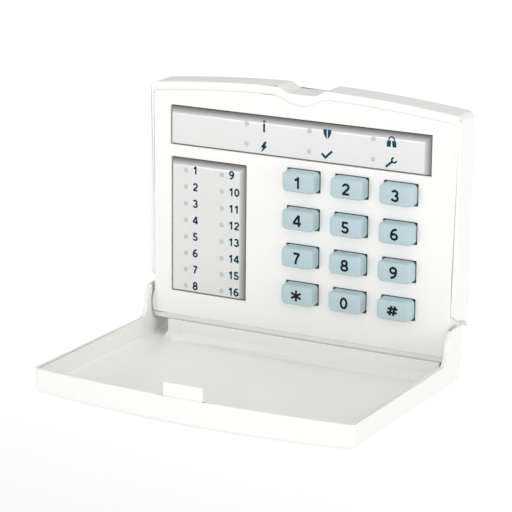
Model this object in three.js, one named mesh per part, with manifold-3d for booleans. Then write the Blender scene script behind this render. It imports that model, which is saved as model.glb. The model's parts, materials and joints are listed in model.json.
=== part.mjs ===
// Alarm keypad panel with a drop-down lid, in millimetres.
// Frame: origin at the centre of the rear mounting face, X right, Y into the wall, Z up.
// The lid is drawn closed, in front of the housing, and its group then turns it down to its open stop.
import * as THREE from "three";
import { mergeVertices } from "three/addons/utils/BufferGeometryUtils.js";
import Module from "manifold-3d";

const wasm = await Module();
wasm.setup();

// ---- Driving dimensions ----

// Outline shared by the housing and the lid: straight sides and bottom under a shallow arch.
const WIDTH = 145;
const PEAK_Z = 54.2;
const BOTTOM_Z = -54.3;
const ARCH_RADIUS = 605;
const CORNER_RADIUS = 3;

// Depths, from the wall towards the user.
const WALL_PLATE = { front: -2.0, rimFront: -5.0, gap: 0.4, rim: 1.5 };
const HOUSING_REAR_Y = -1.0;
const BORDER_Y = -14.8;
const PANEL_Y = -16;
const SKIN = 2.2;
const INNER_FACE_Y = PANEL_Y + SKIN;
const HOUSING_WALL = 2.3;
const LOW_CAVITY = { half: 67, top: -30 };

// Raised panel inside the border, with a dip in its upper edge under the notch.
const PANEL_INSET = { side: 2.45, top: 3.5, bottom: 2.6 };
const NOTCH = { topHalf: 12.3, floorHalf: 5.6, depth: 2.7 };
const PANEL_DIP = { topHalf: 13.8, floorHalf: 1, depth: 3.9 };

// Lower sides of the housing, cut back for the lid's cheeks and flared out towards the bottom.
const FLARE = { neckHalf: 70.3, neckZ: -42.1, half: 71.2, z: -45.3, corner: 2 };
const TUCK = { half: 68.7, frontY: -8 };
const SIDE_CURVE = { radius: 11.7, frontY: -16.5, rearY: -0.1, rise: 0.134 };

// Hinge: pins moulded on the lid's cheeks turn in bores through the housing's sides.
const HINGE = { y: -10.4, z: -48.2, pinRadius: 1.5, boreRadius: 1.8, pinTip: 67.8 };
const OPEN_ANGLE = Math.PI / 2;

// Lid, in its closed place.
const LID = { rimGap: 0.25, sideY: -25.6, crown: 1.2, bottomZ: -53.2, edge: 2.6, wall: 2 };
const TRAY = { sideY: -23.8, crown: 0.8, fillet: 0.8 };
const TAB = { half: 8.9, reach: 5.7, edge: 0.8, innerHalf: 6.6, thick: 2.05 };
const CHEEK = { skinX: 71.5, gap: 0.45, corner: 3, sweep: 8.2 };
const RIB = { x: [-63, 66.5], topZ: -42.2, thick: 1.4, crestY: -16.3, footY: -21.3, rampZ: -36.6 };
const LIP = { topZ: -48.8, sideY: -17.5, crestY: -18.9 };
const PAD = { x: 57.5, radius: 2.9, rise: 0.45 };
const LUG = { x: -17, half: 2, drop: 1.5, y: [-17.6, -15.6] };

// Windows: a plate with a boss that stands in its opening, set back from the panel.
const STATUS_OPENING = { x: [-62, 60.6], z: [24, 41.3] };
const ZONE_OPENING = { x: [-61.6, -24.8], z: [-40.9, 18.8] };
const WINDOW = { frontY: -14.5, flangeY: -13.5, rearY: -12.3, flange: 1.2, gap: 0.3 };

// Indicator lights, each in a blind pocket behind its window's face.
const ZONE_LIGHTS = { columns: [-55.2, -37.6], topZ: 13.2, pitch: 7.33, rows: 8 };
const STATUS_LIGHTS = { columns: [-25.2, 4.4, 33.8], rows: [36.8, 28.1] };
const LIGHT = { radius: 1, base: 1.25, shoulderY: -12, tipY: -13.7, pocket: 1.3, pocketY: -14 };

// Keys: three columns of four.
const KEY_NAMES = ["1", "2", "3", "4", "5", "6", "7", "8", "9", "star", "0", "hash"];
const KEY_GRID = { x: 2.38, z: 15.61, pitchX: 22.35, pitchZ: 16.26, columns: 3 };
const KEY = { width: 15.1, height: 8.95, radius: 2, frontY: -21.6, edge: 0.7 };
const KEY_FLANGE = { grow: 1.3, frontY: -13.5, rearY: -12.3, pillRadius: 2.5, pillY: -12 };
const KEY_GAP = 0.3;
const MAT = { x: [-9.6, 59.2], z: [-41.2, 22.4], frontY: -13.5, rearY: -10.7, gap: 0.4 };

// Circuit board and what stands on its back.
const BOARD = { half: 66.4, z: [-50.4, 47.4], frontY: -10.4, rearY: -8.8, radius: 1.5 };
const POST = { x: 63.8, topZ: 44.9, lowZ: -46.0, radius: 2.4, endY: -10.7, boreY: -14.4 };
const BOARD_SCREW = { head: 2.2, headY: [-8.5, -7.1], shank: 1.05, tipY: -14, hole: 1.5 };
const TERMINALS = { x: 0, z: 24, width: 22, height: 8, y: [-8.5, -2.6], pitch: 5, count: 4 };
const TERMINAL_SCREW = { radius: 1.3, hole: 1.65, rise: 0.8, y: [-6.3, -3.1], headY: -4.3, floorY: -6.7 };
const WIRE_MOUTH = { half: 1.3, deep: 2, y: [-7.7, -4.2] };
const BUZZER = { x: 42, z: 12, radius: 6.5, y: [-8.5, -2.8], port: 1.2 };
const SWITCH = { x: -38, z: -12, side: 6, y: [-8.5, -4.9], bore: 1.8, boreY: -8.1 };
const PLUNGER = { radius: 1.5, y: [-7.0, -3.5] };

// Wall plate features.
const CABLE_ENTRY = { half: 13, z: [4, 18], radius: 3 };
const WALL_SLOTS = { x: 48, z: [-24, 26], half: 2.2, length: 9 };
const SWITCH_POST = { radius: 3, crestY: -3.2 };
const LOCK_TAB = { half: 4, y: [-8.3, -2.0], z: [-51.2, -46] };
const LOCK_SCREW = { y: -5.6, head: 2.7, shank: 1.2, recess: 3, hole: 1.6, tipZ: -46.6, headZ: -53.2 };

// A reach past every face, for cutting tools.
const BEYOND = 80;
const THROUGH = [-BEYOND, BEYOND];

// ---- Solids ----

const { cos, sin, PI } = Math;

function solidOf(geometry) {
  const bare = geometry.index ? geometry.toNonIndexed() : geometry.clone();
  bare.deleteAttribute("normal");
  bare.deleteAttribute("uv");
  const merged = mergeVertices(bare, 1e-4);
  const mesh = new wasm.Mesh({
    numProp: 3,
    vertProperties: new Float32Array(merged.attributes.position.array),
    triVerts: new Uint32Array(merged.index.array),
  });
  return new wasm.Manifold(mesh);
}

function geometryOf(solid) {
  const { vertProperties, triVerts } = solid.getMesh();
  const geometry = new THREE.BufferGeometry();
  geometry.setAttribute("position", new THREE.BufferAttribute(vertProperties, 3));
  geometry.setIndex(new THREE.BufferAttribute(triVerts, 1));
  geometry.computeVertexNormals();
  return geometry;
}

const joined = (solids) => solids.reduce((sum, next) => sum.add(next));
const cutBy = (solid, cutters) => cutters.reduce((left, cutter) => left.subtract(cutter), solid);
const pointsOf = (pairs) => pairs.map(([a, b]) => new THREE.Vector2(a, b));

// A plan outline (x, z) between two depths.
function planPrism(outline, frontY, rearY) {
  const settings = { depth: rearY - frontY, bevelEnabled: false };
  const geometry = new THREE.ExtrudeGeometry(new THREE.Shape(pointsOf(outline)), settings);
  return solidOf(geometry.rotateX(PI / 2).translate(0, rearY, 0));
}

// A side profile (y, z) between two values of x.
function sidePrism(profile, lowX, highX) {
  const settings = { depth: highX - lowX, bevelEnabled: false };
  const geometry = new THREE.ExtrudeGeometry(new THREE.Shape(pointsOf(profile)), settings);
  const [x, y, z] = [new THREE.Vector3(1, 0, 0), new THREE.Vector3(0, 1, 0), new THREE.Vector3(0, 0, 1)];
  const alongX = new THREE.Matrix4().makeBasis(y, z, x);
  return solidOf(geometry.applyMatrix4(alongX).translate(lowX, 0, 0));
}

function block([lowX, highX], [lowY, highY], [lowZ, highZ]) {
  const geometry = new THREE.BoxGeometry(highX - lowX, highY - lowY, highZ - lowZ);
  return solidOf(geometry.translate((lowX + highX) / 2, (lowY + highY) / 2, (lowZ + highZ) / 2));
}

function rodY(x, z, radius, [lowY, highY], sides = 16) {
  const geometry = new THREE.CylinderGeometry(radius, radius, highY - lowY, sides);
  return solidOf(geometry.translate(x, (lowY + highY) / 2, z));
}

function rodX(y, z, radius, [lowX, highX], sides = 20) {
  const geometry = new THREE.CylinderGeometry(radius, radius, highX - lowX, sides).rotateZ(PI / 2);
  return solidOf(geometry.translate((lowX + highX) / 2, y, z));
}

function rodZ(x, y, radius, [lowZ, highZ], sides = 16) {
  const geometry = new THREE.CylinderGeometry(radius, radius, highZ - lowZ, sides).rotateX(PI / 2);
  return solidOf(geometry.translate(x, y, (lowZ + highZ) / 2));
}

const steps = (count) => Array.from({ length: count + 1 }, (_, i) => i / count);

// The same solid on the other side of the middle plane; reversing the index turns each face back out.
function mirrored(solid) {
  const geometry = geometryOf(solid).scale(-1, 1, 1);
  geometry.index.array.reverse();
  return solidOf(geometry);
}

const bothSides = (solid) => [solid, mirrored(solid)];

// ---- Outlines, as a lower and an upper edge with the same x stations from left to right ----

function mirroredEdges(upperRight, lowerRight) {
  const whole = (right) => [...right.slice(1).reverse().map(([x, z]) => [-x, z]), ...right];
  return { upper: whole(upperRight), lower: whole(lowerRight) };
}

const outlineOf = ({ upper, lower }) => [...lower, ...[...upper].reverse()];

function archedEdges(inset, bottomZ = BOTTOM_Z, peakInset = inset, bottomInset = inset) {
  const half = WIDTH / 2 - inset;
  const corner = Math.max(CORNER_RADIUS - inset, 0.8);
  const arch = ARCH_RADIUS - peakInset;
  const archZ = PEAK_Z - ARCH_RADIUS;
  const cornerX = half - corner;
  const cornerZ = archZ + Math.sqrt((arch - corner) ** 2 - cornerX ** 2);
  const lean = Math.atan2(cornerX, cornerZ - archZ);
  const onArch = steps(10).map((t) => [arch * sin(lean * t), archZ + arch * cos(lean * t)]);
  const onCorner = steps(5).slice(1).map((t) => {
    const angle = lean + (PI / 2 - lean) * t;
    return [cornerX + corner * sin(angle), cornerZ + corner * cos(angle)];
  });
  const upperRight = [...onArch, ...onCorner];
  const floor = bottomZ + bottomInset;
  const lowerRight = upperRight.map(([x]) => {
    const over = Math.min(Math.max(x - cornerX, 0), corner);
    return [x, floor + corner - Math.sqrt(corner ** 2 - over ** 2)];
  });
  return mirroredEdges(upperRight, lowerRight);
}

function roundedEdges(width, height, radius, cornerSteps) {
  const [cornerX, cornerZ] = [width / 2 - radius, height / 2 - radius];
  const turn = steps(cornerSteps).map((t) => [sin((PI / 2) * t), cos((PI / 2) * t)]);
  const upperRight = turn.map(([s, c]) => [cornerX + radius * s, cornerZ + radius * c]);
  const lowerRight = upperRight.map(([x, z]) => [x, -z]);
  const whole = (right) => [...[...right].reverse().map(([x, z]) => [-x, z]), ...right];
  return { upper: whole(upperRight), lower: whole(lowerRight) };
}

const roundedOutline = (width, height, radius, x = 0, z = 0) =>
  outlineOf(roundedEdges(width, height, radius, 3)).map(([u, v]) => [x + u, z + v]);

const rectangle = ([lowX, highX], [lowZ, highZ]) => [
  [lowX, lowZ],
  [highX, lowZ],
  [highX, highZ],
  [lowX, highZ],
];

// A solid through rings from the rear to the front; depth(x) gives each ring's y.
function loft(rings) {
  const positions = [];
  const point = ([x, z], depth) => [x, depth(x), z];
  const triangles = (...corners) => corners.forEach((corner) => positions.push(...corner));
  const quad = (a, b, c, d) => triangles(a, b, c, a, c, d);
  const loops = rings.map(({ edges, depth }) => outlineOf(edges).map((p) => point(p, depth)));
  loops.slice(1).forEach((front, k) => {
    const rear = loops[k];
    rear.forEach((corner, i) => {
      const j = (i + 1) % rear.length;
      quad(corner, rear[j], front[j], front[i]);
    });
  });
  const cap = ({ edges, depth }, facesRear) =>
    edges.lower.slice(1).forEach((_, i) => {
      const corners = [edges.lower[i], edges.lower[i + 1], edges.upper[i + 1], edges.upper[i]];
      const placed = corners.map((p) => point(p, depth));
      quad(...(facesRear ? placed.reverse() : placed));
    });
  cap(rings[0], true);
  cap(rings.at(-1), false);
  const geometry = new THREE.BufferGeometry();
  geometry.setAttribute("position", new THREE.Float32BufferAttribute(positions, 3));
  return solidOf(geometry);
}

// The outline of a dip in the upper edge: a flat floor between two smooth flanks.
function dipOutline({ topHalf, floorHalf, depth }, edgeZ) {
  const above = 3;
  const flank = steps(6).map((t) => [
    topHalf + (floorHalf - topHalf) * t,
    edgeZ - (depth * (1 - cos(PI * t))) / 2,
  ]);
  const right = [[topHalf, edgeZ + above], ...flank];
  return [...right, ...right.map(([x, z]) => [-x, z]).reverse()].reverse();
}

const grownDip = ({ topHalf, floorHalf, depth }, by) => ({
  topHalf: topHalf + by,
  floorHalf: floorHalf + by,
  depth: depth + by,
});

// Both sides of the part's foot, from a given half width outwards.
const footSides = (half, topZ) => bothSides(block([half, BEYOND], THROUGH, [-BEYOND, topZ]));

// ---- Materials ----

function plastic(name, color, roughness) {
  return new THREE.MeshStandardMaterial({ name, color, roughness, metalness: 0 });
}

const whitePlastic = plastic("white_plastic", 0xf4f4f2, 0.38);
const diffuser = plastic("diffuser", 0xdcddda, 0.25);
const lens = plastic("lens", 0xb9bab8, 0.3);
const silicone = plastic("silicone", 0xb4cbd2, 0.55);
const laminate = plastic("laminate", 0x1f6b45, 0.5);
const blackPlastic = plastic("black_plastic", 0x202225, 0.5);
const greenPlastic = plastic("green_plastic", 0x2f8f57, 0.45);
const steel = new THREE.MeshStandardMaterial({
  name: "steel",
  color: 0xbfc2c4,
  roughness: 0.35,
  metalness: 1,
});

const keypad = new THREE.Group();

function place(name, solid, material, group = keypad) {
  const mesh = new THREE.Mesh(geometryOf(solid), material);
  mesh.name = name;
  group.add(mesh);
  return mesh;
}

// ---- Front housing ----

// The lower edge of the housing's side (y, z): an arc about the hinge that sweeps up towards the front.
function sideCurve(gap = 0) {
  const { radius, frontY, rearY, rise } = SIDE_CURVE;
  const reach = radius - gap;
  const rearAngle = Math.asin((rearY - HINGE.y) / radius);
  const arc = steps(8).map((t) => {
    const angle = rearAngle * (1 - t);
    return [HINGE.y + reach * sin(angle), HINGE.z + reach * cos(angle)];
  });
  const sweepUp = steps(6).slice(1).map((t) => {
    const ahead = (HINGE.y - frontY) * t;
    return [HINGE.y - ahead, HINGE.z + reach + rise * ahead ** 2];
  });
  return [...arc, ...sweepUp].reverse();
}

// Everything beside the housing's lower side and below its side curve, deeper behind the lid's cheek.
function sideCutter() {
  const { neckHalf, neckZ, half, z, corner } = FLARE;
  const round = steps(4).map((t) => [
    half - corner + corner * cos((PI / 2) * t),
    BOTTOM_Z + corner - corner * sin((PI / 2) * t),
  ]);
  const plan = [[BEYOND, 0], [neckHalf, 0], [neckHalf, neckZ], [half, z], ...round];
  plan.push([half - corner, -BEYOND], [BEYOND, -BEYOND]);
  const curve = sideCurve();
  const [[, frontZ], [, rearZ]] = [curve[0], curve.at(-1)];
  const profile = [...curve, [BEYOND, rearZ], [BEYOND, -BEYOND], [-BEYOND, -BEYOND], [-BEYOND, frontZ]];
  const tuck = block([TUCK.half, BEYOND], [TUCK.frontY, BEYOND], [-BEYOND, BEYOND]);
  return planPrism(plan, ...THROUGH).add(tuck).intersect(sidePrism(profile, 0, BEYOND));
}

const keyPlaces = KEY_NAMES.map((name, i) => ({
  name: "key_" + name,
  x: KEY_GRID.x + (i % KEY_GRID.columns) * KEY_GRID.pitchX,
  z: KEY_GRID.z - Math.floor(i / KEY_GRID.columns) * KEY_GRID.pitchZ,
}));

const postPlaces = [1, -1].flatMap((side) => [POST.topZ, POST.lowZ].map((z) => [side * POST.x, z]));

function raisedPanel() {
  const { side, top, bottom } = PANEL_INSET;
  const panelDepths = [PANEL_Y, BORDER_Y + 0.5];
  const panel = planPrism(outlineOf(archedEdges(side, BOTTOM_Z, top, bottom)), ...panelDepths);
  const dip = planPrism(dipOutline(PANEL_DIP, PEAK_Z - top), -BEYOND, BORDER_Y);
  const { neckHalf, neckZ, half, z, corner } = FLARE;
  const floor = BOTTOM_Z + bottom;
  const round = steps(3).map((t) => [
    half - corner + corner * cos((PI / 2) * t),
    floor + corner - corner * sin((PI / 2) * t),
  ]);
  const foot = [[0, neckZ], [0, floor], ...round.reverse(), [half, z], [neckHalf, neckZ]];
  return joined([cutBy(panel, [dip]), ...bothSides(planPrism(foot, ...panelDepths))]);
}

function frontHousing() {
  const body = planPrism(outlineOf(archedEdges(0)), BORDER_Y, HOUSING_REAR_Y);
  const inside = planPrism(outlineOf(archedEdges(HOUSING_WALL)), INNER_FACE_Y, BEYOND);
  const notchWall = planPrism(dipOutline(grownDip(NOTCH, HOUSING_WALL), PEAK_Z), ...THROUGH);
  const cavity = cutBy(inside, [...footSides(LOW_CAVITY.half, LOW_CAVITY.top), notchWall]);
  const posts = postPlaces.map(([x, z]) => rodY(x, z, POST.radius, [INNER_FACE_Y - 0.5, POST.endY]));
  const postBores = postPlaces.map(([x, z]) =>
    rodY(x, z, BOARD_SCREW.shank + KEY_GAP, [POST.boreY, POST.endY + 1], 12),
  );
  const openings = [STATUS_OPENING, ZONE_OPENING].map(({ x, z }) =>
    planPrism(rectangle(x, z), -BEYOND, INNER_FACE_Y + 0.5),
  );
  const [holeWidth, holeHeight] = [KEY.width + 2 * KEY_GAP, KEY.height + 2 * KEY_GAP];
  const keyHoles = keyPlaces.map(({ x, z }) => {
    const outline = rectangle(
      [x - holeWidth / 2, x + holeWidth / 2],
      [z - holeHeight / 2, z + holeHeight / 2],
    );
    return planPrism(outline, -BEYOND, INNER_FACE_Y + 0.5);
  });
  const notch = planPrism(dipOutline(NOTCH, PEAK_Z), ...THROUGH);
  const hingeBores = bothSides(rodX(HINGE.y, HINGE.z, HINGE.boreRadius, [LOW_CAVITY.half - 2, WIDTH / 2]));
  const screwHole = rodZ(0, LOCK_SCREW.y, LOCK_SCREW.hole, [-BEYOND, LOCK_SCREW.tipZ]);
  const screwRecess = rodZ(0, LOCK_SCREW.y, LOCK_SCREW.recess, [-BEYOND, LOCK_SCREW.headZ + 0.3]);
  const shell = cutBy(joined([body, raisedPanel()]), [cavity, notch]);
  return cutBy(joined([shell, ...posts]), [
    ...openings,
    ...keyHoles,
    ...postBores,
    ...hingeBores,
    ...bothSides(sideCutter()),
    screwHole,
    screwRecess,
  ]);
}

// ---- Lid, closed ----

const crowned = ({ sideY, crown }, rise = 0) => (x) =>
  sideY - crown * (1 - (x / (WIDTH / 2)) ** 2) + rise;

const rimY = BORDER_Y - LID.rimGap;

function lidShell() {
  const lidEdges = (inset) => archedEdges(inset, LID.bottomZ);
  const rounding = steps(4).map((t) => {
    const angle = (PI / 2) * t;
    const inset = LID.edge * (1 - cos(angle));
    return { edges: lidEdges(inset), depth: crowned(LID, LID.edge * (1 - sin(angle))) };
  });
  const outside = loft([{ edges: lidEdges(0), depth: () => rimY }, ...rounding]);
  const inside = loft([
    { edges: lidEdges(LID.wall), depth: () => rimY + 3 },
    { edges: lidEdges(LID.wall), depth: crowned(TRAY, TRAY.fillet) },
    { edges: lidEdges(LID.wall + TRAY.fillet), depth: crowned(TRAY) },
  ]);
  return outside.subtract(inside);
}

function cheek() {
  const rearY = HOUSING_REAR_Y;
  const { corner, gap } = CHEEK;
  const innerX = WIDTH / 2 - LID.wall;
  const along = sideCurve(gap);
  const round = steps(5).map((t) => [
    rearY - corner + corner * sin((PI / 2) * t),
    LID.bottomZ + corner - corner * cos((PI / 2) * t),
  ]);
  const tuckY = LID.sideY + LID.edge;
  const [[frontTopY, topZ], [, rearTopZ]] = [along[0], along.at(-1)];
  const above = [...along, [BEYOND, rearTopZ], [BEYOND, BEYOND], [frontTopY, BEYOND]];
  const slab = [[tuckY, LID.bottomZ], ...round, [rearY, topZ], [tuckY, topZ]];
  const rounded = planPrism(outlineOf(archedEdges(0, LID.bottomZ)), ...THROUGH);
  const side = sidePrism(slab, innerX, WIDTH / 2).intersect(rounded);
  return side.subtract(sidePrism(above, 0, BEYOND));
}

// The strip that stands up from the tray in front of the hinge, on a ramp, with a round pad at each end.
function rib() {
  const { x, topZ, thick, crestY, footY, rampZ } = RIB;
  const floorY = TRAY.sideY - TRAY.crown;
  const rearZ = topZ - thick;
  const profile = [[floorY, rearZ], [crestY, rearZ], [crestY, topZ], [footY, topZ], [floorY, rampZ]];
  const tilt = Math.atan2(footY - floorY, rampZ - topZ);
  const [middleY, middleZ] = [(footY + floorY) / 2, (topZ + rampZ) / 2];
  const disc = new THREE.CylinderGeometry(PAD.radius, PAD.radius, 2 * PAD.rise, 16).rotateX(tilt);
  const pad = solidOf(disc.translate(PAD.x, middleY, middleZ));
  return joined([sidePrism(profile, ...x), ...bothSides(pad)]);
}

function pullTab() {
  const top = PEAK_Z - 0.08;
  const { half, edge, innerHalf, thick, reach } = TAB;
  const right = [[half, top], [half, top - edge], [innerHalf, top - thick]];
  const outline = [...right, ...right.map(([x, z]) => [-x, z]).reverse()].reverse();
  return planPrism(outline, rimY - 1, rimY + reach);
}

function lid() {
  const inner = WIDTH / 2 - LID.wall;
  const within = [-CHEEK.skinX, CHEEK.skinX];
  const wallZ = PEAK_Z - LID.wall;
  const lug = block([LUG.x - LUG.half, LUG.x + LUG.half], LUG.y, [wallZ - LUG.drop, wallZ + 0.5]);
  const body = joined([lidShell(), ...bothSides(cheek()), lug, pullTab()]);
  const sweep = rodX(HINGE.y, HINGE.z, CHEEK.sweep / cos(PI / 24), within, 24);
  const clearances = [
    sweep,
    block(within, [LIP.sideY, BEYOND], [-BEYOND, HINGE.z]),
    block(within, [PANEL_Y - 0.5, BEYOND], [-BEYOND, FLARE.neckZ + 0.5]),
    block([-inner, inner], [LIP.crestY, BEYOND], [-BEYOND, LIP.topZ]),
  ];
  const pin = rodX(HINGE.y, HINGE.z, HINGE.pinRadius, [HINGE.pinTip, CHEEK.skinX + 0.3]);
  return joined([cutBy(body, clearances), rib(), ...bothSides(pin)]);
}

// ---- Windows and lights ----

const zoneLights = ZONE_LIGHTS.columns.flatMap((x) =>
  steps(ZONE_LIGHTS.rows - 1).map((_, i) => [x, ZONE_LIGHTS.topZ - i * ZONE_LIGHTS.pitch]),
);
const statusLights = STATUS_LIGHTS.columns.flatMap((x) => STATUS_LIGHTS.rows.map((z) => [x, z]));

function windowPlate({ x, z }, lights) {
  const grown = ([low, high], by) => [low - by, high + by];
  const { frontY, flangeY, rearY, flange, gap } = WINDOW;
  const boss = planPrism(rectangle(grown(x, -gap), grown(z, -gap)), frontY, flangeY + 0.2);
  const plate = planPrism(rectangle(grown(x, flange), grown(z, flange)), flangeY, rearY);
  const pockets = lights.map(([u, v]) => rodY(u, v, LIGHT.pocket, [LIGHT.pocketY, rearY + 1], 10));
  return cutBy(joined([boss, plate]), pockets);
}

function light([x, z]) {
  const { radius, base, shoulderY, tipY } = LIGHT;
  const rearY = BOARD.frontY - KEY_GAP;
  const profile = [
    [0, rearY],
    [base, rearY],
    [base, shoulderY],
    [radius, shoulderY],
    [radius, tipY + 0.5],
    [0, tipY],
  ];
  const geometry = new THREE.LatheGeometry(pointsOf(profile).reverse(), 8);
  return solidOf(geometry.translate(x, 0, z));
}

// ---- Keys ----

function key() {
  const { width, height, radius, frontY, edge } = KEY;
  const face = (inset) => roundedEdges(width - 2 * inset, height - 2 * inset, radius - inset / 2, 3);
  const body = loft([
    { edges: face(0), depth: () => KEY_FLANGE.rearY - 0.4 },
    { edges: face(0), depth: () => frontY + edge },
    { edges: face(edge), depth: () => frontY },
  ]);
  const { grow, frontY: flangeFront, rearY, pillRadius, pillY } = KEY_FLANGE;
  const flange = roundedOutline(width + 2 * grow, height + 2 * grow, radius + grow);
  const pill = rodY(0, 0, pillRadius, [rearY - 0.5, pillY], 8);
  return joined([body, planPrism(flange, flangeFront, rearY), pill]);
}

function keyMat() {
  const grow = KEY_FLANGE.grow + MAT.gap;
  const [width, height] = [KEY.width + 2 * grow, KEY.height + 2 * grow];
  const clear = keyPlaces.map(({ x, z }) =>
    planPrism(roundedOutline(width, height, KEY.radius, x, z), ...THROUGH),
  );
  return cutBy(planPrism(rectangle(MAT.x, MAT.z), MAT.frontY, MAT.rearY), clear);
}

// ---- Electronics ----

function circuitBoard() {
  const { half, z, frontY, rearY, radius } = BOARD;
  const outline = roundedOutline(2 * half, z[1] - z[0], radius, 0, (z[0] + z[1]) / 2);
  const holes = postPlaces.map(([x, v]) => rodY(x, v, BOARD_SCREW.hole, THROUGH, 12));
  return cutBy(planPrism(outline, frontY, rearY), holes);
}

function screw(head, shank, shankY, headY, slotDepth = 0.5) {
  const body = joined([rodY(0, 0, head, headY, 14), rodY(0, 0, shank, [shankY, headY[0] + 0.2], 10)]);
  return body.subtract(block(THROUGH, [headY[1] - slotDepth, BEYOND], [-0.3, 0.3]));
}

const terminalX = steps(TERMINALS.count - 1).map(
  (t) => TERMINALS.x + (t - 0.5) * TERMINALS.pitch * (TERMINALS.count - 1),
);

function terminalBlock() {
  const { x, z, width, height, y } = TERMINALS;
  const body = block([x - width / 2, x + width / 2], y, [z - height / 2, z + height / 2]);
  const wells = terminalX.map((u) =>
    rodY(u, z + TERMINAL_SCREW.rise, TERMINAL_SCREW.hole, [TERMINAL_SCREW.floorY, BEYOND], 12),
  );
  const mouthZ = [-BEYOND, z - height / 2 + WIRE_MOUTH.deep];
  const wireMouths = terminalX.map((u) =>
    block([u - WIRE_MOUTH.half, u + WIRE_MOUTH.half], WIRE_MOUTH.y, mouthZ),
  );
  return cutBy(body, [...wells, ...wireMouths]);
}

function buzzer() {
  const { radius, y, port } = BUZZER;
  return rodY(0, 0, radius, y, 24).subtract(rodY(0, 0, port, [y[1] - 2, y[1] + 1], 10));
}

function tamperSwitch() {
  const { x, z, side, y, bore, boreY } = SWITCH;
  const body = block([x - side / 2, x + side / 2], y, [z - side / 2, z + side / 2]);
  return body.subtract(rodY(x, z, bore, [boreY, y[1] + 1], 16));
}

// ---- Wall plate ----

function rearBase() {
  const { front, rimFront, gap, rim } = WALL_PLATE;
  const layer = (inset, ...depths) =>
    cutBy(
      planPrism(outlineOf(archedEdges(HOUSING_WALL + inset)), ...depths),
      footSides(LOW_CAVITY.half - inset, LOW_CAVITY.top + gap),
    );
  const plate = layer(gap, rimFront, 0);
  const hollow = layer(gap + rim, -BEYOND, front);
  const notchRoom = planPrism(
    dipOutline(grownDip(NOTCH, HOUSING_WALL + gap), PEAK_Z),
    -BEYOND,
    HOUSING_REAR_Y + gap,
  );
  const entryHeight = CABLE_ENTRY.z[1] - CABLE_ENTRY.z[0];
  const entryZ = (CABLE_ENTRY.z[0] + CABLE_ENTRY.z[1]) / 2;
  const entryOutline = roundedOutline(2 * CABLE_ENTRY.half, entryHeight, CABLE_ENTRY.radius, 0, entryZ);
  const entry = planPrism(entryOutline, ...THROUGH);
  const slotWidth = 2 * WALL_SLOTS.half;
  const slots = WALL_SLOTS.z.flatMap((z) =>
    [-WALL_SLOTS.x, WALL_SLOTS.x].map((x) => {
      const outline = roundedOutline(WALL_SLOTS.length, slotWidth, WALL_SLOTS.half - 0.01, x, z);
      return planPrism(outline, ...THROUGH);
    }),
  );
  const post = rodY(SWITCH.x, SWITCH.z, SWITCH_POST.radius, [SWITCH_POST.crestY, front + 0.5]);
  const tab = block([-LOCK_TAB.half, LOCK_TAB.half], [LOCK_TAB.y[0], front + 0.5], LOCK_TAB.z);
  const tabHole = rodZ(0, LOCK_SCREW.y, LOCK_SCREW.shank + KEY_GAP, [-BEYOND, LOCK_TAB.z[1] + 1]);
  const rimRelief = block([-LOCK_TAB.half, LOCK_TAB.half], [-BEYOND, front], [-BEYOND, LOCK_TAB.z[0]]);
  const body = joined([plate.subtract(hollow), post, tab]);
  return cutBy(body, [entry, ...slots, tabHole, rimRelief, notchRoom]);
}

function lockScrew() {
  const { y, head, shank, tipZ, headZ } = LOCK_SCREW;
  const headBottom = BOTTOM_Z + 0.1;
  const body = joined([
    rodZ(0, y, head, [headBottom, headZ], 16),
    rodZ(0, y, shank, [headZ - 0.2, tipZ], 10),
  ]);
  return body.subtract(block([-head - 1, head + 1], [y - 0.3, y + 0.3], [headBottom - 1, headBottom + 0.5]));
}

// ---- Assembly ----

place("front_housing", frontHousing(), whitePlastic);
place("rear_base", rearBase(), whitePlastic);
place("status_window", windowPlate(STATUS_OPENING, statusLights), diffuser);
place("zone_window", windowPlate(ZONE_OPENING, zoneLights), diffuser);
zoneLights.forEach((spot, i) => place("zone_led_" + (i + 1), light(spot), lens));
statusLights.forEach((spot, i) => place("status_led_" + (i + 1), light(spot), lens));
place("key_mat", keyMat(), silicone);
place("circuit_board", circuitBoard(), laminate);
place("terminal_block", terminalBlock(), greenPlastic);
terminalX.forEach((x, i) => {
  const { radius, rise, y, headY } = TERMINAL_SCREW;
  const mesh = place("terminal_screw_" + (i + 1), screw(radius, radius * 0.7, y[0], [headY, y[1]]), steel);
  mesh.position.set(x, 0, TERMINALS.z + rise);
});
place("buzzer", buzzer(), blackPlastic).position.set(BUZZER.x, 0, BUZZER.z);
place("tamper_switch", tamperSwitch(), blackPlastic);
place("tamper_plunger", rodY(SWITCH.x, SWITCH.z, PLUNGER.radius, PLUNGER.y, 14), whitePlastic);
postPlaces.forEach(([x, z], i) => {
  const { head, shank, tipY, headY } = BOARD_SCREW;
  place("board_screw_" + (i + 1), screw(head, shank, tipY, headY), steel).position.set(x, 0, z);
});
place("housing_screw", lockScrew(), steel);

const keys = new THREE.Group();
keyPlaces.forEach(({ name, x, z }) => place(name, key(), silicone, keys).position.set(x, 0, z));
keypad.add(keys);

const hinge = new THREE.Group();
hinge.position.set(0, HINGE.y, HINGE.z);
hinge.rotation.x = OPEN_ANGLE;
const lidMesh = place("lid", lid(), whitePlastic, hinge);
lidMesh.position.set(0, -HINGE.y, -HINGE.z);
keypad.add(hinge);

export default keypad;
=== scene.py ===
"""Alarm keypad panel with a drop-down lid: its looks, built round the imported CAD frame.

Metres throughout. X is to the right, Y into the wall, Z up, with the origin at the centre of the
rear mounting face. Sizes written in millimetres are multiplied by MM.
"""

import json
import math

import bmesh
import bpy
from mathutils import Matrix, Vector


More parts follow.
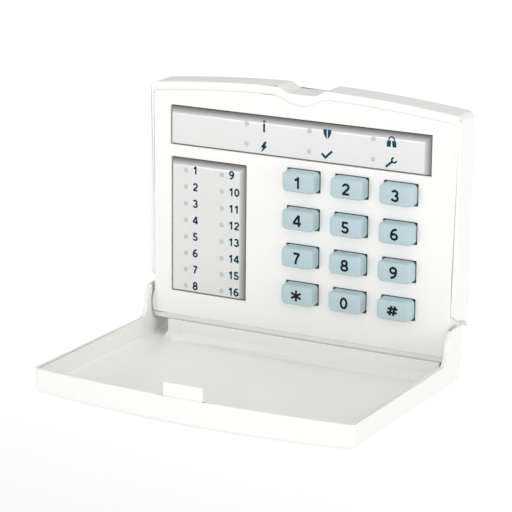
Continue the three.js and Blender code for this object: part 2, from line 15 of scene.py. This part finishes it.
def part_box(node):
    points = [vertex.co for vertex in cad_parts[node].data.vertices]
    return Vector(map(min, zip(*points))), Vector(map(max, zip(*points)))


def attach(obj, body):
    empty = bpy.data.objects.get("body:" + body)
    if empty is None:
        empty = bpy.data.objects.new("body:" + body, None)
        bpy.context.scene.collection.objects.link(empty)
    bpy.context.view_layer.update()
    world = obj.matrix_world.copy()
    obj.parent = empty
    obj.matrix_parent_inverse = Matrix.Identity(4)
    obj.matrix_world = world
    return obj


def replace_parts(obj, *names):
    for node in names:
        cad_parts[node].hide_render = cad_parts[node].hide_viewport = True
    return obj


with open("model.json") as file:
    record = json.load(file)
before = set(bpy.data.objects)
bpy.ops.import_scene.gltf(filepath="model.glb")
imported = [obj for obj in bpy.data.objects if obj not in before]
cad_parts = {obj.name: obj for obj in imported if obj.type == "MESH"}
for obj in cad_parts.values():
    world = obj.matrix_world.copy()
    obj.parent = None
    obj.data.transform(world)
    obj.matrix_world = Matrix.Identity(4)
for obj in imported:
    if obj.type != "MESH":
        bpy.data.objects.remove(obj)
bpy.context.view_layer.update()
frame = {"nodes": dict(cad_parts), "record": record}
nodes = frame["nodes"]

MM = 0.001

# Places no further apart than this, in millimetres, count as the same.
TOUCHING = 1e-6

# Keys, in millimetres: the cap's plan, how its edges round, and its hidden flange. The cap's top lies
# KEY_INSET behind the front of its CAD node.
KEY_LEGENDS = {name: name for name in "1234567890"} | {"star": "*", "hash": "#"}
KEY_CAP = {"width": 15.1, "height": 8.95, "corner": 1.9, "edge": 1.0, "dome": 0.12, "draft": 0.12}
KEY_CORNER_SHRINK = 0.6
KEY_EDGE_RINGS = 7
KEY_TOP_RINGS = (0.8, 0.55, 0.3, 0.1)
KEY_FLANGE = {"grow": 1.3, "deep": 1.2, "rear_y": -12.3}
KEY_INSET = 0.02
LEGEND = {"height": 4.9, "wide": 1.28, "stroke": 0.195, "pitch": 0.6}

# Windows, in millimetres: the hidden flange and the gap round the face, how deep the face, the darkest
# painted shade on its edges and the skirt lie, and how the four edges fall away.
WINDOW_FLANGE = 1.2
WINDOW_GAP = 0.3
WINDOW_FACE_Y = -15.35
WINDOW_PAINTED_SHADE_Y = -13.7
WINDOW_SKIRT_Y = -13.4
WINDOW_WALL = 0.9
BROAD_EDGE = {"reach": 3.9, "fall": 1.75}
NARROW_EDGE = {"reach": 0.5, "fall": 0.5}
EDGE_FRACTIONS = (0, 0.06, 0.14, 0.25, 0.38, 0.52, 0.66, 0.8, 0.92, 1, 1.1)

# Light spots and printed marks, in millimetres. A spot's profile gives shares of its radius and rise,
# and a number's or a legend's sizes after its height are shares of that height.
SPOT = {"radius": 1.05, "rise": 0.05, "sides": 24}
SPOT_PROFILE = ((1.0, -0.3), (1.0, 0.3), (0.92, 0.7), (0.6, 0.93), (0.2, 1.0))
MARK_THICK = 0.03
MARK_STEP = 0.6
NUMBER = {"height": 3.45, "wide": 1.22, "stroke": 0.225, "pitch": 0.76}
NUMBER_OFFSET = (3.4, 0.35)
ZONE_SPOT_SHIFT = 0.6
SIGN_OFFSET = (8.3, -0.4)
FIGURE_WIDTH = 0.6
ZONE_LIGHTS = 16
STATUS_LIGHTS = 6

# The rounded edges of the CAD nodes: how wide they are, and the least turn that is rounded, in degrees.
# The housing keeps the smaller turn, because with 50 degrees it met the shut lid.
EDGE_MM = {"front_housing": 0.3, "lid": 0.3, "rear_base": 0.03}
SMALL_EDGE_MM = 0.12
EDGE_TURN = {"lid": 45, "rear_base": 60}
LEAST_TURN = 30
WELD_MM = 0.002

# The stage, in metres. Each light has a place, a width, a height and a power in watts.
FLOOR_SIZE = 40.0
FLOOR_Z = -0.32
WORLD_STRENGTH = 0.6
LIT_POINT = Vector((0, -0.03, 0))
LIGHTS = {
    "key_light": ((0.75, -1.3, 0.85), 0.9, 0.9, 3.8),
    "fill_light": ((-0.3, -1.6, -0.05), 1.3, 1.3, 7.1),
    "top_light": ((0.1, -0.1, 1.4), 0.9, 0.9, 3.2),
    "side_light": ((1.5, -0.3, 0.3), 0.8, 0.8, 5.2),
    "strip_light": ((-0.57, -1.25, -0.09), 0.3, 0.07, 0.7),
}
CAMERA_PLACE = (0.45864, -0.90793, 0.25161)
CAMERA_TURN = {"azimuth": 28.212, "elevation": 15.024, "roll": 0.544}
CAMERA_LENS = 173.278125


# ---- Materials ----


class Surface:
    """A material with a Principled shader and short ways to add nodes to it."""

    def __init__(self, name):
        self.material = bpy.data.materials.new(name)
        self.material.use_nodes = True
        self.tree = self.material.node_tree
        self.shader = self.tree.nodes["Principled BSDF"]
        self.place = self.node("ShaderNodeTexCoord").outputs["Object"]

    def node(self, kind, inputs=None, **settings):
        made = self.tree.nodes.new(kind)
        for name, value in settings.items():
            setattr(made, name, value)
        for name, value in (inputs or {}).items():
            self.feed(made.inputs[name], value)
        return made

    def feed(self, socket, value):
        if isinstance(value, bpy.types.NodeSocket):
            self.tree.links.new(value, socket)
        else:
            socket.default_value = value

    def set(self, **values):
        for name, value in values.items():
            self.feed(self.shader.inputs[name.replace("_", " ")], value)

    def noise(self, size_mm, detail=2.0, roughness=0.5):
        """Noise whose features are about size_mm across."""
        inputs = {
            "Vector": self.place,
            "Scale": 1.0 / (size_mm * MM),
            "Detail": detail,
            "Roughness": roughness,
        }
        return self.node("ShaderNodeTexNoise", inputs).outputs["Fac"]

    def ramp(self, value, low, high, start=0.0, end=1.0):
        made = self.node("ShaderNodeValToRGB", {"Fac": value})
        for element, position, tone in zip(made.color_ramp.elements, (start, end), (low, high)):
            element.position = position
            element.color = tone
        return made.outputs["Color"]

    def span(self, value, low, high, start=0.0, end=1.0):
        """The value brought from start to end into low to high, and kept within them."""
        inputs = {"Value": value, "From Min": start, "From Max": end, "To Min": low, "To Max": high}
        return self.node("ShaderNodeMapRange", inputs).outputs["Result"]

    def depth(self):
        """How far into the wall a point lies, in metres."""
        return self.node("ShaderNodeSeparateXYZ", {"Vector": self.place}).outputs["Y"]

    def mix(self, factor, low, high):
        made = self.node("ShaderNodeMix", data_type="RGBA")
        self.feed(made.inputs["Factor"], factor)
        self.feed(made.inputs[6], low)
        self.feed(made.inputs[7], high)
        return made.outputs[2]

    def bump(self, height, depth_mm, below=None):
        inputs = {"Height": height, "Distance": depth_mm * MM, "Strength": 1.0}
        if below is not None:
            inputs["Normal"] = below
        return self.node("ShaderNodeBump", inputs).outputs["Normal"]


def colour(red, green, blue, scale=1.0):
    return (red * scale, green * scale, blue * scale, 1.0)


def moulded(name, base, roughness, grain_mm, grain_depth_mm, mottle=0.02, shade=None, **values):
    """Moulded plastic or rubber: a fine grain, a faint mottle and an uneven gloss.

    Deep in a gap the colour can carry painted shade: give the first depth in mm, the last depth in mm and
    the share of light left.
    """
    surface = Surface(name)
    cloudy = surface.noise(14.0, detail=3.0)
    grain = surface.noise(grain_mm, detail=3.0, roughness=0.6)
    wavy = surface.noise(9.0, detail=1.0)
    tone = surface.ramp(cloudy, colour(*base, 1 - mottle), colour(*base, 1.0), 0.3, 0.7)
    # Painted shade: the colour darkens with depth into a gap.
    if shade:
        first, last, light_left = shade
        deep = surface.span(surface.depth(), 0.0, 1.0, first * MM, last * MM)
        tone = surface.mix(deep, tone, colour(*base, light_left))
    surface.set(
        Base_Color=tone,
        Roughness=surface.span(surface.noise(3.0, detail=4.0), roughness - 0.04, roughness + 0.04),
        Normal=surface.bump(grain, grain_depth_mm, surface.bump(wavy, 0.02)),
        **values,
    )
    return surface.material


def diffuser(name, base, painted_shade_scale, face_y_mm, painted_shade_y_mm):
    """Glossy translucent plastic with painted shade: its colour is painted darker the further its edges fall
    away into the housing.
    """
    surface = Surface(name)
    cloudy = surface.noise(16.0, detail=3.0)
    face = surface.ramp(cloudy, colour(*base, 0.985), colour(*base, 1.0), 0.3, 0.7)
    # Painted shade: the further the face has fallen back toward the housing, the darker its colour.
    fallen = surface.span(surface.depth(), 0.0, 1.0, face_y_mm * MM, painted_shade_y_mm * MM)
    painted_edge_shade = surface.node("ShaderNodeMath", operation="POWER")
    surface.feed(painted_edge_shade.inputs[0], fallen)
    surface.feed(painted_edge_shade.inputs[1], 0.3)
    surface.set(
        Base_Color=surface.mix(painted_edge_shade.outputs["Value"], face, colour(*base, painted_shade_scale)),
        Roughness=surface.span(surface.noise(4.0, detail=3.0), 0.16, 0.22),
        Normal=surface.bump(surface.noise(0.5, detail=2.0), 0.0012, surface.bump(surface.noise(11.0), 0.02)),
        Coat_Weight=0.4,
        Coat_Roughness=0.08,
    )
    return surface.material


# Each moulded look: its name, colour and roughness, and how wide and how deep its grain is, in millimetres.
white_plastic = moulded("white_plastic_look", (0.87, 0.864, 0.838), 0.3, 0.35, 0.0012, mottle=0.008)
base_plastic = moulded("base_plastic_look", (0.80, 0.80, 0.785), 0.5, 0.5, 0.012)
# The windows carry painted shade on their edges, down to a tenth of the light where the edges fall deepest.
window_plastic = diffuser("window_look", (0.70, 0.705, 0.695), 0.1, WINDOW_FACE_Y + 0.02, WINDOW_PAINTED_SHADE_Y)
spot_plastic = moulded("spot_look", (0.50, 0.505, 0.50), 0.25, 0.3, 0.001)
lens_plastic = moulded("lens_look", (0.42, 0.42, 0.41), 0.3, 0.3, 0.002)
# The keys carry painted shade: their colour darkens deep in the gaps round them, down to 0.08 of its light
# on the hidden flange.
key_silicone = moulded(
    "key_look", (0.455, 0.585, 0.625), 0.38, 0.3, 0.003, shade=(-16.6, -15.6, 0.08),
    Subsurface_Weight=0.4, Subsurface_Radius=(1.0, 1.2, 1.3), Subsurface_Scale=1.5 * MM,
)
# The mat under the keys is painted dark grey: painted shade seen through the gaps round the keys.
mat_silicone = moulded("mat_painted_shade_look", (0.10, 0.125, 0.135), 0.55, 0.4, 0.006)
laminate = moulded("laminate_look", (0.03, 0.20, 0.10), 0.35, 0.8, 0.004, mottle=0.2)
terminal_plastic = moulded("terminal_look", (0.04, 0.30, 0.14), 0.45, 0.5, 0.006)
black_plastic = moulded("black_plastic_look", (0.02, 0.02, 0.022), 0.5, 0.5, 0.01)
plated_steel = moulded("steel_look", (0.55, 0.56, 0.57), 0.3, 0.4, 0.003, Metallic=1.0)
key_ink = moulded("key_ink_look", (0.003, 0.009, 0.015), 0.6, 0.2, 0.001, Specular_IOR_Level=0.15)
panel_ink = moulded("panel_ink_look", (0.0, 0.06, 0.105), 0.6, 0.2, 0.001, Specular_IOR_Level=0.15)

LOOKS = {
    "white_plastic": white_plastic,
    "base_plastic": base_plastic,
    "window_diffuser": window_plastic,
    "led_lens": lens_plastic,
    "key_silicone": key_silicone,
    "mat_silicone": mat_silicone,
    "board_laminate": laminate,
    "terminal_plastic": terminal_plastic,
    "black_plastic": black_plastic,
    "screw_steel": plated_steel,
}


# ---- CAD nodes: rounded edges and their looks ----


def weigh_normals(piece):
    """Flat faces keep their own shading, and the narrow faces between them blend from one to the next."""
    weighted = piece.modifiers.new("normals", "WEIGHTED_NORMAL")
    weighted.weight = 80


def soften(piece, width_mm, segments, least_turn):
    """Rounds a CAD node's edges where its faces turn by more than least_turn degrees."""
    piece.modifiers.new("weld", "WELD").merge_threshold = WELD_MM * MM
    bevel = piece.modifiers.new("bevel", "BEVEL")
    bevel.width = width_mm * MM
    bevel.segments = segments
    bevel.limit_method = "ANGLE"
    bevel.angle_limit = math.radians(least_turn)
    bevel.use_clamp_overlap = False
    weigh_normals(piece)
    for attribute in ("custom_normal", "sharp_edge", "sharp_face"):
        if attribute in piece.data.attributes:
            piece.data.attributes.remove(piece.data.attributes[attribute])


slot_of = {part["node"]: part["material_slot"] for part in frame["record"]["subparts"]}
for name, node in nodes.items():
    node.data.materials.clear()
    node.data.materials.append(LOOKS[slot_of[name]])
    segments = 3 if name in EDGE_MM else 2
    soften(node, EDGE_MM.get(name, SMALL_EDGE_MM), segments, EDGE_TURN.get(name, LEAST_TURN))


# ---- Making pieces ----


def face_outwards(mesh):
    shape = bmesh.new()
    shape.from_mesh(mesh)
    bmesh.ops.recalc_face_normals(shape, faces=shape.faces)
    shape.to_mesh(mesh)
    shape.free()


def add_piece(name, points, faces, look, body="root", smooth=True, closed=True):
    """A mesh piece from points in millimetres."""
    mesh = bpy.data.meshes.new(name)
    mesh.from_pydata([Vector(point) * MM for point in points], [], faces)
    if closed:
        face_outwards(mesh)
    mesh.polygons.foreach_set("use_smooth", [smooth] * len(mesh.polygons))
    mesh.materials.append(look)
    piece = bpy.data.objects.new(name, mesh)
    bpy.context.scene.collection.objects.link(piece)
    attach(piece, body)
    return piece


def ring_faces(loops, size):
    """Faces between loops of size points each, and a cap on the first and the last loop."""
    faces = [tuple(reversed(range(size)))]
    for k in range(loops - 1):
        for i in range(size):
            j = (i + 1) % size
            faces.append((k * size + i, k * size + j, (k + 1) * size + j, (k + 1) * size + i))
    faces.append(tuple(range((loops - 1) * size, loops * size)))
    return faces


def rounded_outline(width, height, radius, steps=6):
    """Points (x, z) round a rectangle with round corners, turning left as seen from the front."""
    points = []
    for quarter, (side, top) in enumerate([(1, -1), (1, 1), (-1, 1), (-1, -1)]):
        for i in range(steps + 1):
            angle = (quarter - 1 + i / steps) * math.pi / 2
            x = side * (width / 2 - radius) + radius * math.cos(angle)
            z = top * (height / 2 - radius) + radius * math.sin(angle)
            points.append((x, z))
    return points


def middle_mm(node):
    low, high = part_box(node)
    return (low + high) / 2 / MM


# ---- Keys ----


def dome_y(x, z, front_y):
    """The depth of a key's gently domed top, from its middle outwards."""
    across = (2 * x / KEY_CAP["width"]) ** 2 + (2 * z / KEY_CAP["height"]) ** 2
    return front_y + KEY_CAP["dome"] * across


def make_key(node, look):
    """A silicone key: a flange behind the panel, straight sides, a round edge and a domed top."""
    low, high = (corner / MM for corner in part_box(node))
    centre = (low + high) / 2
    width, height, corner = KEY_CAP["width"], KEY_CAP["height"], KEY_CAP["corner"]
    edge, grow, rear_y = KEY_CAP["edge"], KEY_FLANGE["grow"], KEY_FLANGE["rear_y"]
    front_y = low.y + KEY_INSET
    shoulder_y = rear_y - KEY_FLANGE["deep"]
    flange = rounded_outline(width + 2 * grow, height + 2 * grow, corner + grow)
    side = rounded_outline(width, height, corner)
    loops = [[(x, rear_y, z) for x, z in flange], [(x, shoulder_y, z) for x, z in flange]]
    loops.append([(x, shoulder_y, z) for x, z in side])
    for k in range(KEY_EDGE_RINGS):
        turn = math.pi / 2 * k / (KEY_EDGE_RINGS - 1)
        inset = KEY_CAP["draft"] + edge * (1 - math.cos(turn))
        shrunk = rounded_outline(width - 2 * inset, height - 2 * inset, corner - inset * KEY_CORNER_SHRINK)
        lift = edge * (1 - math.sin(turn))
        loops.append([(x, dome_y(x, z, front_y) + lift, z) for x, z in shrunk])
    rim = loops[-1]
    for part in KEY_TOP_RINGS:
        loops.append([(x * part, dome_y(x * part, z * part, front_y), z * part) for x, _, z in rim])
    points = [(x + centre.x, y, z + centre.z) for loop in loops for x, y, z in loop]
    return add_piece(node + "_cap", points, ring_faces(len(loops), len(side)), look, node)


# ---- Printed marks ----


def arc(x, y, across, up, start, end, steps=14):
    """Points round an ellipse about (x, y), from one angle to another in degrees."""
    angles = [math.radians(start + (end - start) * i / steps) for i in range(steps + 1)]
    return [(x + across * math.cos(angle), y + up * math.sin(angle)) for angle in angles]


def turned(strokes, width):
    """The same strokes upside down."""
    return [[(width - x, 1 - y) for x, y in stroke] for stroke in strokes]


# Each figure is drawn 1 high and about FIGURE_WIDTH wide, as the middle lines of its strokes.
SIX = [arc(0.3, 0.3, 0.21, 0.23, 0, 360, 20), arc(0.42, 0.42, 0.33, 0.51, 78, 188, 12)]
FIGURES = {
    "0": [arc(0.3, 0.5, 0.21, 0.42, 0, 360, 24)],
    "1": [[(0.09, 0.73), (0.2, 0.77), (0.29, 0.84), (0.34, 0.97)], [(0.34, 1.0), (0.34, 0.0)]],
    "2": [arc(0.3, 0.69, 0.2, 0.23, 175, -35) + [(0.12, 0.14), (0.08, 0.08)], [(0.05, 0.08), (0.54, 0.08)]],
    "3": [arc(0.28, 0.71, 0.19, 0.21, 160, -90), arc(0.28, 0.29, 0.22, 0.22, 90, -165)],
    "4": [[(0.43, 0.0), (0.43, 1.0)], [(0.4, 0.96), (0.05, 0.32)], [(0.0, 0.27), (0.6, 0.27)]],
    "5": [[(0.5, 0.92), (0.15, 0.92), (0.12, 0.5)], arc(0.28, 0.31, 0.22, 0.23, 135, -160)],
    "6": SIX,
    "7": [[(0.06, 0.92), (0.52, 0.92)], [(0.5, 0.9), (0.36, 0.62), (0.26, 0.3), (0.23, 0.0)]],
    "8": [arc(0.3, 0.71, 0.18, 0.21, 0, 360, 20), arc(0.3, 0.28, 0.22, 0.21, 0, 360, 20)],
    "9": turned(SIX, FIGURE_WIDTH),
    "*": [[(0.3 - x, 0.5 - y), (0.3 + x, 0.5 + y)] for x, y in ((0.0, 0.49), (0.36, 0.25), (0.36, -0.25))],
    "#": [
        [(0.1, 0.08), (0.24, 0.92)],
        [(0.36, 0.08), (0.5, 0.92)],
        [(-0.08, 0.34), (0.64, 0.34)],
        [(-0.04, 0.67), (0.68, 0.67)],
    ],
}


def finely(line, step):
    """The same line with points added so that no two lie further apart than step."""
    points = [line[0]]
    for start, end in zip(line, line[1:]):
        parts = max(1, math.ceil(math.dist(start, end) / step))
        for i in range(1, parts + 1):
            points.append(tuple(a + (b - a) * i / parts for a, b in zip(start, end)))
    return points


def ribbon(line, width):
    """The outline of a stroke of even width along a line, with square ends."""
    closed = math.dist(line[0], line[-1]) < TOUCHING
    ways = [(Vector(end) - Vector(start)).normalized() for start, end in zip(line, line[1:])]
    left, right = [], []
    for i, (x, y) in enumerate(line):
        into = ways[i - 1] if i or closed else ways[0]
        out = ways[i] if i < len(ways) else ways[0 if closed else -1]
        along = (into + out).normalized()
        reach = width / 2 / max(0.5, along.dot(out))
        left.append((x - along.y * reach, y + along.x * reach))
        right.append((x + along.y * reach, y - along.x * reach))
    return left, right


def add_marks(name, shapes, x, z, depth_at, look, body="root"):
    """Thin printed shapes, as (left edge, right edge) pairs in millimetres, on a surface at (x, z)."""
    points, faces = [], []
    for left, right in shapes:
        start, count = len(points), len(left)
        for lift in (MARK_THICK, -MARK_THICK):
            points += [(x + u, depth_at(u, v) - lift, z + v) for u, v in left + right]
        for i in range(count - 1):
            near = (i, i + count, i + count + 1, i + 1)
            faces.append(tuple(start + k for k in near))
            faces.append(tuple(start + 2 * count + k for k in reversed(near)))
        around = list(range(count)) + list(range(2 * count - 1, count - 1, -1))
        for i, k in zip(around, around[1:] + around[:1]):
            faces.append((start + k, start + i, start + 2 * count + i, start + 2 * count + k))
    return add_piece(name, points, faces, look, body, smooth=False)


def half_shape(rows, side):
    """One half of a filled sign: rows of (height, inner x, outer x), on the right or the left side."""
    return [(side * inner, y) for y, inner, _ in rows], [(side * outer, y) for y, _, outer in rows]


SHIELD_HALF = [(1.9, 0.22, 1.85), (0.8, 0.22, 1.85), (-0.2, 0.22, 1.6), (-1.2, 0.22, 1.0), (-2.1, 0.22, 0.3)]
LOCK_HALF = [(0.5, 0.25, 2.0), (-0.6, 0.25, 2.15), (-2.2, 0.5, 2.15)]
BOLT_HALVES = [
    ([(0.3, 2.3), (-1.6, -0.4)], [(1.3, 2.3), (0.3, -0.4)]),
    ([(-0.3, 0.4), (-1.2, -2.3)], [(1.6, 0.4), (-0.9, -2.3)]),
]
SIGNS = {
    "info": [ribbon([(0, -2.5), (0, 1.2)], 0.95), ribbon([(0, 1.75), (0, 2.6)], 0.95)],
    "power": BOLT_HALVES,
    "shield": [half_shape(SHIELD_HALF, side) for side in (-1, 1)],
    "ready": [ribbon([(-2.4, 0.35), (-0.75, -1.35), (2.4, 1.65)], 1.0)],
    "lock": [
        *(half_shape(LOCK_HALF, side) for side in (-1, 1)),
        ribbon(arc(0, 0.6, 1.25, 1.5, 0, 180), 0.55),
    ],
    "service": [
        ribbon([(-2.4, -2.0), (0.75, 0.75)], 0.95),
        ribbon(arc(1.3, 1.15, 1.05, 1.05, 95, 355, 16), 0.75),
    ],
}
SIGN_COLUMNS = (("info", "power"), ("shield", "ready"), ("lock", "service"))


def figure_shapes(text, style, shift=0.0):
    """The strokes of a few figures side by side, moved along by a share of a figure's height."""
    height, wide = style["height"], style["wide"]
    shapes = []
    for place, figure in enumerate(text):
        start = shift + place * style["pitch"]
        for line in FIGURES[figure]:
            placed = [((x * wide + start) * height, (y - 0.5) * height) for x, y in line]
            shapes.append(ribbon(finely(placed, MARK_STEP), style["stroke"] * height))
    return shapes


# ---- Windows ----


def edge_stations(low_edge, high_edge, low, high):
    """Places across a window, close together over its two edges."""
    near = [low + low_edge["reach"] * f for f in EDGE_FRACTIONS]
    far = [high - high_edge["reach"] * f for f in EDGE_FRACTIONS]
    return near + far[::-1]


def fall(edge, distance):
    """How far a face has fallen at a distance from its edge: a quarter of an ellipse."""
    left = max(0.0, 1 - distance / edge["reach"])
    return edge["fall"] * (1 - math.sqrt(1 - left**2))


def make_window(node):
    """A diffuser plate: broad round edges at the top and the right, narrow ones at the others."""
    low, high = (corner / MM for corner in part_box(node))
    inset = WINDOW_FLANGE + WINDOW_GAP
    left, right = low.x + inset, high.x - inset
    bottom, top = low.z + inset, high.z - inset
    xs = edge_stations(NARROW_EDGE, BROAD_EDGE, left, right)
    zs = edge_stations(NARROW_EDGE, BROAD_EDGE, bottom, top)

    def face_y(x, z):
        falls = (
            fall(NARROW_EDGE, x - left),
            fall(BROAD_EDGE, right - x),
            fall(NARROW_EDGE, z - bottom),
            fall(BROAD_EDGE, top - z),
        )
        return WINDOW_FACE_Y + math.sqrt(sum(f**2 for f in falls))

    points = [(x, face_y(x, z), z) for z in zs for x in xs]
    columns, rows = len(xs), len(zs)
    faces = []
    for r in range(rows - 1):
        for c in range(columns - 1):
            first = r * columns + c
            faces.append((first, first + 1, first + columns + 1, first + columns))
    rim = list(range(columns))
    rim += [r * columns + columns - 1 for r in range(1, rows)]
    rim += [(rows - 1) * columns + c for c in range(columns - 2, -1, -1)]
    rim += [r * columns for r in range(rows - 2, 0, -1)]
    inner = rim
    for grow in (0.0, inset):
        outer = []
        for index in rim:
            x, _, z = points[index]
            x += grow * ((x >= right - TOUCHING) - (x <= left + TOUCHING))
            z += grow * ((z >= top - TOUCHING) - (z <= bottom + TOUCHING))
            outer.append(len(points))
            points.append((x, WINDOW_SKIRT_Y, z))
        for i in range(len(rim)):
            j = (i + 1) % len(rim)
            faces.append((inner[j], inner[i], outer[i], outer[j]))
        inner = outer
    piece = add_piece(node + "_face", points, faces, window_plastic, closed=False)
    wall = piece.modifiers.new("wall", "SOLIDIFY")
    wall.thickness = WINDOW_WALL * MM
    wall.offset = -1
    weigh_normals(piece)
    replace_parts(piece, node)


def make_spots(name, places):
    """Low round lenses on a window's face, one at each place."""
    radius, rise, sides = SPOT["radius"], SPOT["rise"], SPOT["sides"]
    points, faces = [], []
    for place in places:
        start = len(points)
        for part, height in SPOT_PROFILE:
            for i in range(sides):
                angle = 2 * math.pi * i / sides
                u, v = radius * part * math.cos(angle), radius * part * math.sin(angle)
                points.append((place.x + u, WINDOW_FACE_Y - rise * height, place.z + v))
        faces += [tuple(start + i for i in face) for face in ring_faces(len(SPOT_PROFILE), sides)]
    return add_piece(name, points, faces, spot_plastic)


# ---- Building the pieces ----


def add_legend(node, legend):
    """A key's printed figure, which follows its domed top."""
    centre = middle_mm(node)
    front_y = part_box(node)[0].y / MM + KEY_INSET

    def on_dome(u, v):
        return dome_y(u, v, front_y)

    shapes = figure_shapes(legend, LEGEND, -FIGURE_WIDTH / 2 * LEGEND["wide"])
    add_marks(node + "_legend", shapes, centre.x, centre.z, on_dome, key_ink, node)


def add_print(name, shapes, spot, offset):
    """Printed shapes on the flat part of a window's face, beside a light spot."""

    def on_window(_u, _v):
        return WINDOW_FACE_Y

    x, z = spot.x + offset[0], spot.z + offset[1]
    add_marks(name, shapes, x, z, on_window, panel_ink)


for name, legend in KEY_LEGENDS.items():
    node = "key_" + name
    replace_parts(make_key(node, key_silicone), node)
    add_legend(node, legend)

for node in ("status_window", "zone_window"):
    make_window(node)

shift = Vector((ZONE_SPOT_SHIFT, 0, 0))
zone_places = [middle_mm(f"zone_led_{i + 1}") + shift for i in range(ZONE_LIGHTS)]
status_places = [middle_mm(f"status_led_{i + 1}") for i in range(STATUS_LIGHTS)]
make_spots("zone_spots", zone_places)
make_spots("status_spots", status_places)

for number, spot in enumerate(zone_places, start=1):
    add_print(f"zone_number_{number}", figure_shapes(str(number), NUMBER), spot, NUMBER_OFFSET)

signs = [sign for column in SIGN_COLUMNS for sign in column]
for sign, spot in zip(signs, status_places):
    add_print("sign_" + sign, SIGNS[sign], spot, SIGN_OFFSET)


# ---- Floor, light and camera ----


def make_floor(size, z):
    mesh = bpy.data.meshes.new("floor")
    half = size / 2
    corners = [(-half, -half, z), (half, -half, z), (half, half, z), (-half, half, z)]
    mesh.from_pydata(corners, [], [(0, 1, 2, 3)])
    floor = bpy.data.objects.new("floor", mesh)
    bpy.context.scene.collection.objects.link(floor)
    surface = Surface("floor_look")
    # The floor glows: painted light that also lights the object from below. It glows faintly near the object
    # and in front of it, and strongly far off and behind it.
    away = surface.node("ShaderNodeVectorMath", operation="LENGTH")
    surface.feed(away.inputs[0], surface.place)
    glow = surface.node("ShaderNodeMath", operation="MAXIMUM")
    surface.feed(glow.inputs[0], surface.span(surface.depth(), 0.05, 0.5, -0.2, 1.0))
    surface.feed(glow.inputs[1], surface.span(away.outputs["Value"], 0.0, 0.5, 0.7, 1.8))
    surface.set(
        Base_Color=surface.ramp(surface.noise(400.0), colour(0.9, 0.9, 0.9), colour(0.93, 0.93, 0.93)),
        Roughness=0.8,
        Emission_Color=colour(1, 1, 1),
        Emission_Strength=glow.outputs["Value"],
    )
    mesh.materials.append(surface.material)


def make_light(name, place, width, height, watts):
    """A soft rectangular light aimed at the object."""
    data = bpy.data.lights.new(name, "AREA")
    data.shape = "RECTANGLE"
    data.size = width
    data.size_y = height
    data.energy = watts
    light = bpy.data.objects.new(name, data)
    light.location = place
    light.rotation_mode = "QUATERNION"
    light.rotation_quaternion = (LIT_POINT - Vector(place)).to_track_quat("-Z", "Y")
    bpy.context.scene.collection.objects.link(light)


def make_world(strength):
    world = bpy.data.worlds.new("studio")
    world.use_nodes = True
    background = world.node_tree.nodes["Background"]
    background.inputs["Color"].default_value = colour(1, 1, 1)
    background.inputs["Strength"].default_value = strength
    bpy.context.scene.world = world


def make_camera(place, azimuth, elevation, roll, lens):
    """A camera at place; azimuth 0 looks along +Y, and elevation is how far it looks down, in degrees."""
    a, e, r = (math.radians(angle) for angle in (azimuth, elevation, roll))
    right = Vector((math.cos(a), math.sin(a), 0))
    back = Vector((math.sin(a) * math.cos(e), -math.cos(a) * math.cos(e), math.sin(e)))
    up = back.cross(right)
    rolled_right = math.cos(r) * right + math.sin(r) * up
    rolled_up = math.cos(r) * up - math.sin(r) * right
    data = bpy.data.cameras.new("camera")
    data.lens = lens
    data.sensor_width = 36
    data.clip_start = 0.05
    data.clip_end = 60
    camera = bpy.data.objects.new("camera", data)
    facing = Matrix((rolled_right, rolled_up, back)).transposed().to_4x4()
    camera.matrix_world = Matrix.Translation(place) @ facing
    bpy.context.scene.collection.objects.link(camera)
    bpy.context.scene.camera = camera


make_floor(FLOOR_SIZE, FLOOR_Z)
make_world(WORLD_STRENGTH)
for name, settings in LIGHTS.items():
    make_light(name, *settings)
make_camera(CAMERA_PLACE, **CAMERA_TURN, lens=CAMERA_LENS)
bpy.context.scene.view_settings.view_transform = "Standard"
